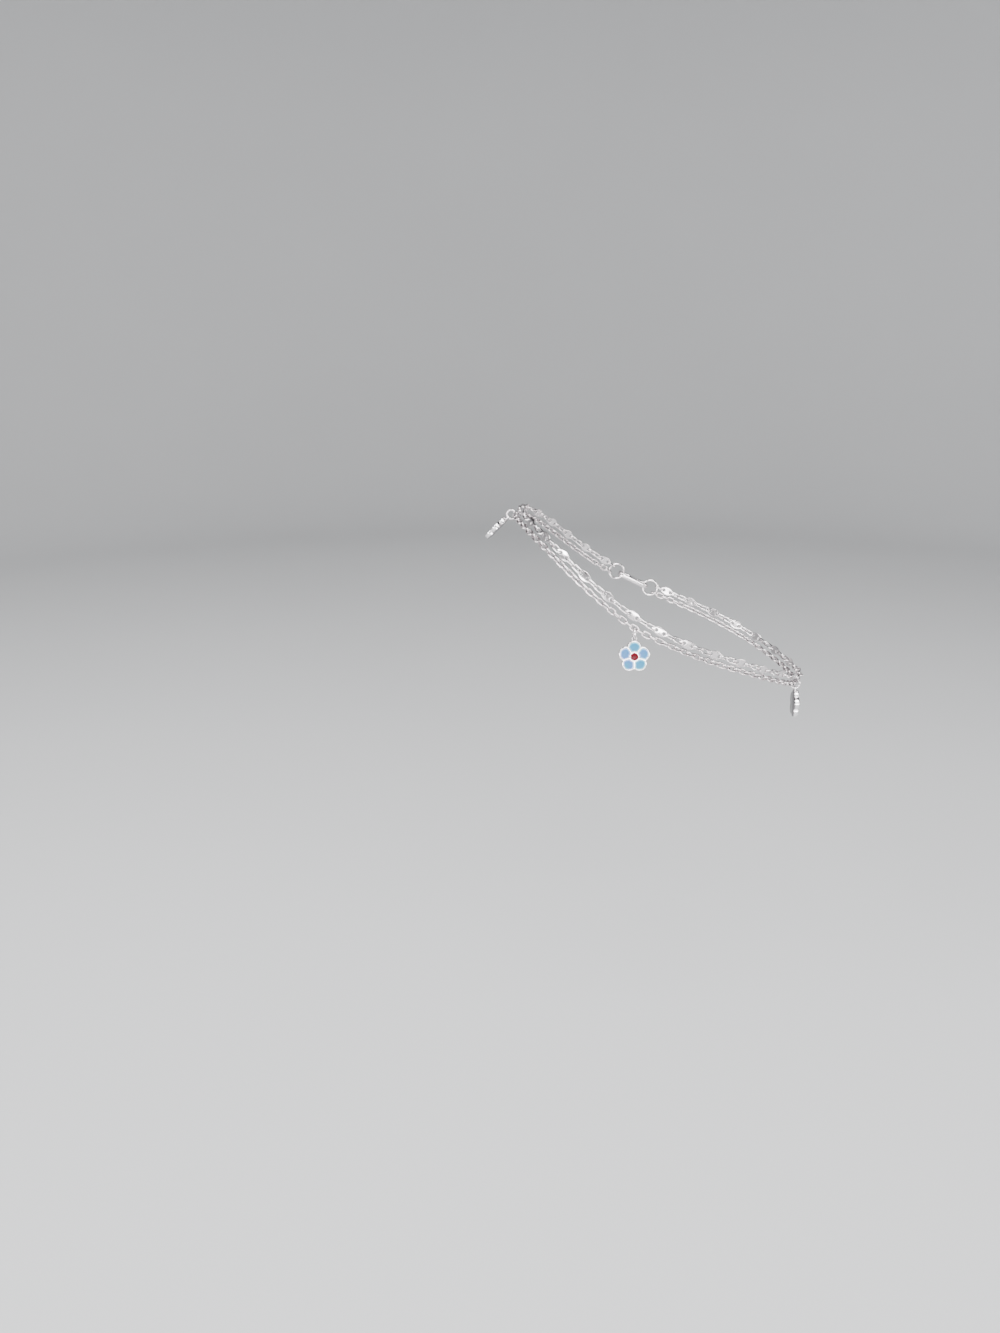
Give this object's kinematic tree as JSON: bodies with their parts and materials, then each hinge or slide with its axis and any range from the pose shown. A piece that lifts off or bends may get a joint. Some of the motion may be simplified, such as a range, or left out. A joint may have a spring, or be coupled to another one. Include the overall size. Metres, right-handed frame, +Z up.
{
  "type": "charm anklet",
  "caption": "Worn two-strand chain anklet: pierced oval plates above a fine cable, with small enamelled flower charms on jump rings.",
  "frame": {"origin": "the middle of the hollow for the ankle, on the tilted plane of the loop", "axes": "+Z up, +X towards the heel and -X towards the toes, -Y the outer side that shows"},
  "size_m": [0.0853, 0.0673, 0.0561],
  "materials": {
    "polished_silver": "polished silver",
    "cable_silver": "polished silver wire",
    "charm_silver": "polished cast silver",
    "blue_enamel": "glossy light blue enamel",
    "red_enamel": "glossy dark red enamel"
  },
  "bodies": {
    "root": {"plate_strand_front": "polished_silver", "plate_strand_heel": "polished_silver", "cable_strand_1": "cable_silver", "cable_strand_2": "cable_silver", "cable_strand_3": "cable_silver", "cable_strand_4": "cable_silver", "carrier_link_front": "cable_silver", "jump_ring_front": "polished_silver", "flower_front": "charm_silver", "petal_front_1": "blue_enamel", "petal_front_2": "blue_enamel", "petal_front_3": "blue_enamel", "petal_front_4": "blue_enamel", "petal_front_5": "blue_enamel", "centre_front": "red_enamel", "carrier_link_side": "cable_silver", "jump_ring_side": "polished_silver", "flower_side": "charm_silver", "petal_side_1": "blue_enamel", "petal_side_2": "blue_enamel", "petal_side_3": "blue_enamel", "petal_side_4": "blue_enamel", "petal_side_5": "blue_enamel", "centre_side": "red_enamel", "carrier_link_heel": "cable_silver", "jump_ring_heel": "polished_silver", "flower_heel": "charm_silver", "petal_heel_1": "blue_enamel", "petal_heel_2": "blue_enamel", "petal_heel_3": "blue_enamel", "petal_heel_4": "blue_enamel", "petal_heel_5": "blue_enamel", "centre_heel": "red_enamel", "end_ring_front": "polished_silver", "end_ring_heel": "polished_silver", "clasp": "polished_silver"}
  },
  "joints": []
}
